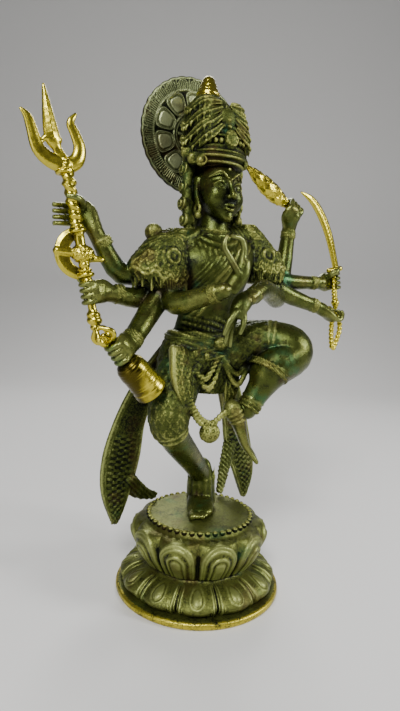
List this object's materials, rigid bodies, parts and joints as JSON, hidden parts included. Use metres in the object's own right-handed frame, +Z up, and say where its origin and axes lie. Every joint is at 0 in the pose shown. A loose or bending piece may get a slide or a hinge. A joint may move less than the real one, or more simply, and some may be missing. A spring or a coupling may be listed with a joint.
{
  "type": "shiva nataraja statue",
  "caption": "Cast bronze dancing Shiva with many arms, tall crown, halo disc and hand-held emblems, poised on one foot on a round double lotus pedestal.",
  "frame": {"origin": "centre of the pedestal's flat underside", "axes": "+Z up through the pedestal, the figure faces -Y, its own left side is +X"},
  "size_m": [0.3205, 0.15, 0.4665],
  "materials": {
    "patinated_bronze": "cast bronze with olive brown patina, green verdigris and dark recesses",
    "rubbed_brass": "gold-coloured brass rubbed bright on the raised parts, dark in the recesses"
  },
  "bodies": {
    "root": {"lotus_pedestal": "patinated_bronze", "figure": "patinated_bronze", "halo": "patinated_bronze", "trident": "rubbed_brass", "sword": "rubbed_brass", "flame": "rubbed_brass", "bell": "rubbed_brass", "rosary": "rubbed_brass"}
  },
  "joints": []
}
